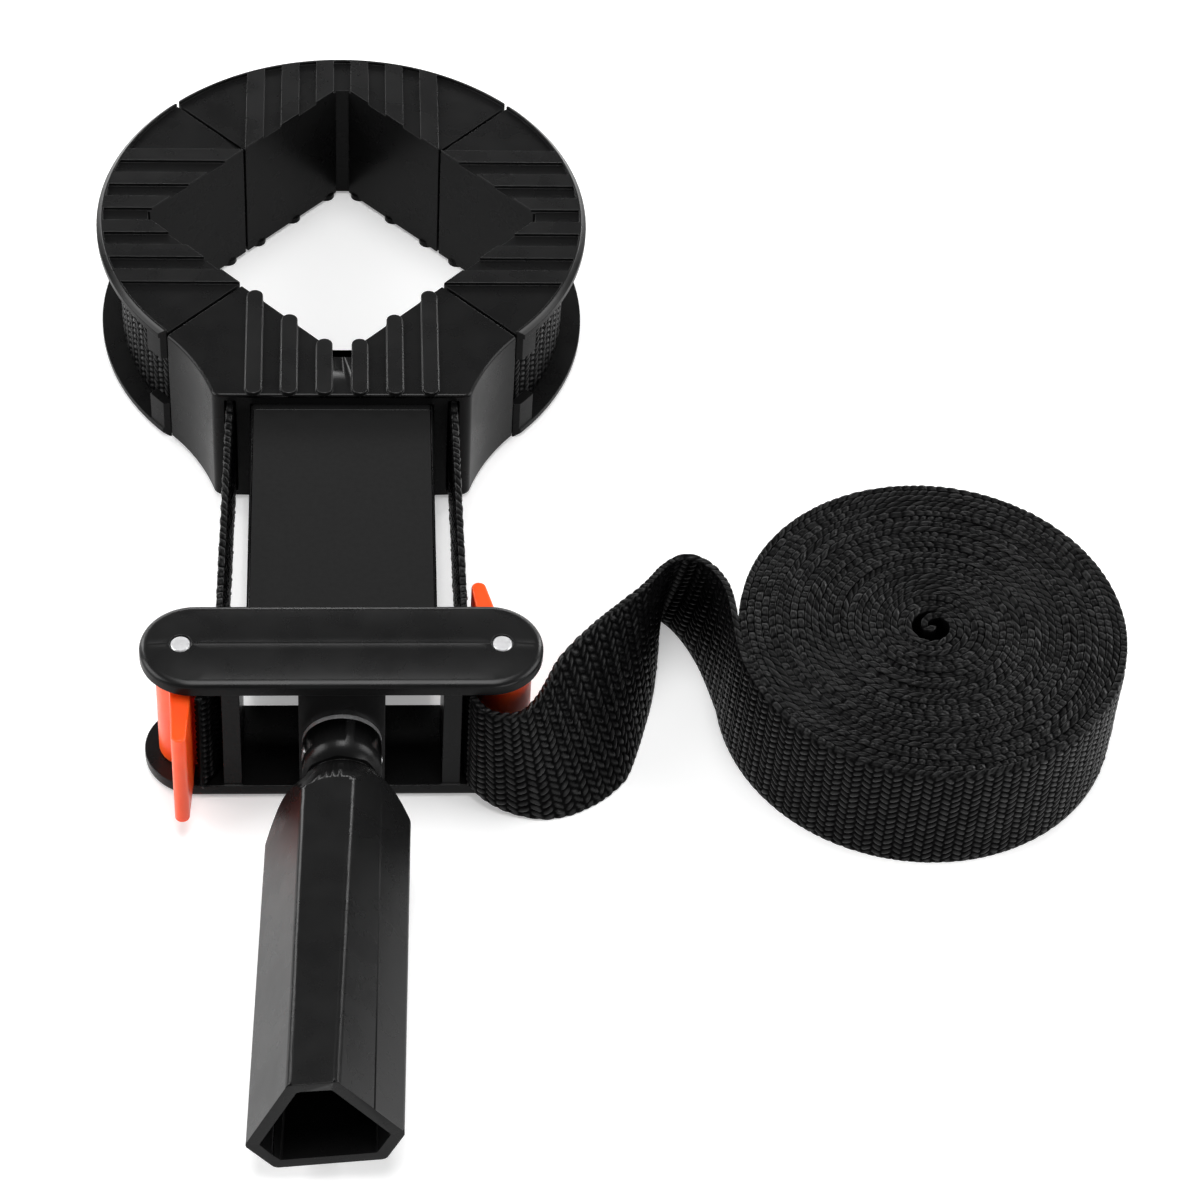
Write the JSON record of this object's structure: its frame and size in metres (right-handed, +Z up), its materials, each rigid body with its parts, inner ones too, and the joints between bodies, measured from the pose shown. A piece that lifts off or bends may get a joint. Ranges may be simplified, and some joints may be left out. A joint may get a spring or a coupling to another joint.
{
  "type": "strap clamp",
  "caption": "Strap clamp with ribbed corner jaws that close into a ring, a webbing strap around them, cam levers that pinch it and a screw handle that pulls it tight.",
  "frame": {"origin": "middle of the tool's own box at the height of the table it lies on, the loose strap and its roll left out", "axes": "+Y from the handle to the back jaw, +Z up from the table, +X to the side where the loose strap comes out"},
  "size_m": [0.1981, 0.2642, 0.0326],
  "materials": {
    "black_plastic": "semi-gloss moulded",
    "label": "fine matt, blank",
    "steel": "zinc plated",
    "orange_plastic": "semi-gloss moulded",
    "webbing": "woven nylon webbing"
  },
  "bodies": {
    "head": {"front_jaw": "black_plastic", "spindle_housing": "black_plastic", "label_plate": "label", "spindle_nut": "steel", "strap_front_left": "webbing", "strap_front_right": "webbing"},
    "left_jaw": {"left_jaw": "black_plastic", "strap_left_jaw": "webbing"},
    "back_jaw": {"back_jaw": "black_plastic", "strap_back_left": "webbing"},
    "right_jaw": {"right_jaw": "black_plastic", "strap_right_jaw": "webbing"},
    "strap_span": {"strap_back_right": "webbing"},
    "carriage": {"yoke": "black_plastic", "lever_pin_left": "steel", "lever_pin_right": "steel", "thrust_washer": "steel", "neck_washer": "steel", "strap_run_left": "webbing", "strap_run_right": "webbing", "strap_stub_left": "webbing"},
    "screw": {"spindle": "steel", "handle": "black_plastic", "handle_pin": "steel"},
    "lever_left": {"cam_lever_left": "orange_plastic"},
    "lever_right": {"cam_lever_right": "orange_plastic"},
    "loose_strap": {"strap_tail": "webbing", "strap_roll": "webbing"}
  },
  "joints": [
    {"name": "jaw_left_slide", "type": "slide", "parent": "head", "child": "left_jaw", "axis": [-0.7071, 0.7071, 0], "range_m": [0, 0.07]},
    {"name": "jaw_right_slide", "type": "slide", "parent": "head", "child": "right_jaw", "axis": [0.7071, 0.7071, 0], "range_m": [0, 0.07]},
    {"name": "jaw_back_slide", "type": "slide", "parent": "left_jaw", "child": "back_jaw", "axis": [0.7071, 0.7071, 0], "range_m": [0, 0.07]},
    {"name": "strap_span_slide", "type": "slide", "parent": "right_jaw", "child": "strap_span", "axis": [-0.7071, 0.7071, 0], "range_m": [0, 0.07]},
    {"name": "carriage_slide", "type": "slide", "parent": "head", "child": "carriage", "axis": [0, -1, 0], "range_m": [0, 0.04]},
    {"name": "handle_turn", "type": "hinge", "parent": "carriage", "child": "screw", "pos_m": [0, -0.037, 0.0163], "axis": [0, -1, 0], "range_deg": [0, 3600]},
    {"name": "lever_left_turn", "type": "hinge", "parent": "carriage", "child": "lever_left", "pos_m": [-0.0294, -0.037, 0.0163], "axis": [0, 0, 1], "range_deg": [-192, 0]},
    {"name": "strap_tail_slide", "type": "slide", "parent": "carriage", "child": "loose_strap", "axis": [0.1465, -0.9892, 0], "range_m": [0, 0.0273]},
    {"name": "lever_right_turn", "type": "hinge", "parent": "carriage", "child": "lever_right", "pos_m": [0.0294, -0.037, 0.0163], "axis": [0, 0, 1], "range_deg": [-192, 0]}
  ],
  "couplings": [
    {"joint": "jaw_back_slide", "follows": "jaw_right_slide", "ratio": 1},
    {"joint": "strap_span_slide", "follows": "jaw_left_slide", "ratio": 1},
    {"joint": "handle_turn", "follows": "carriage_slide", "rad_per_m": 1570.8},
    {"joint": "lever_right_turn", "follows": "strap_tail_slide", "rad_per_m": -122.85}
  ]
}
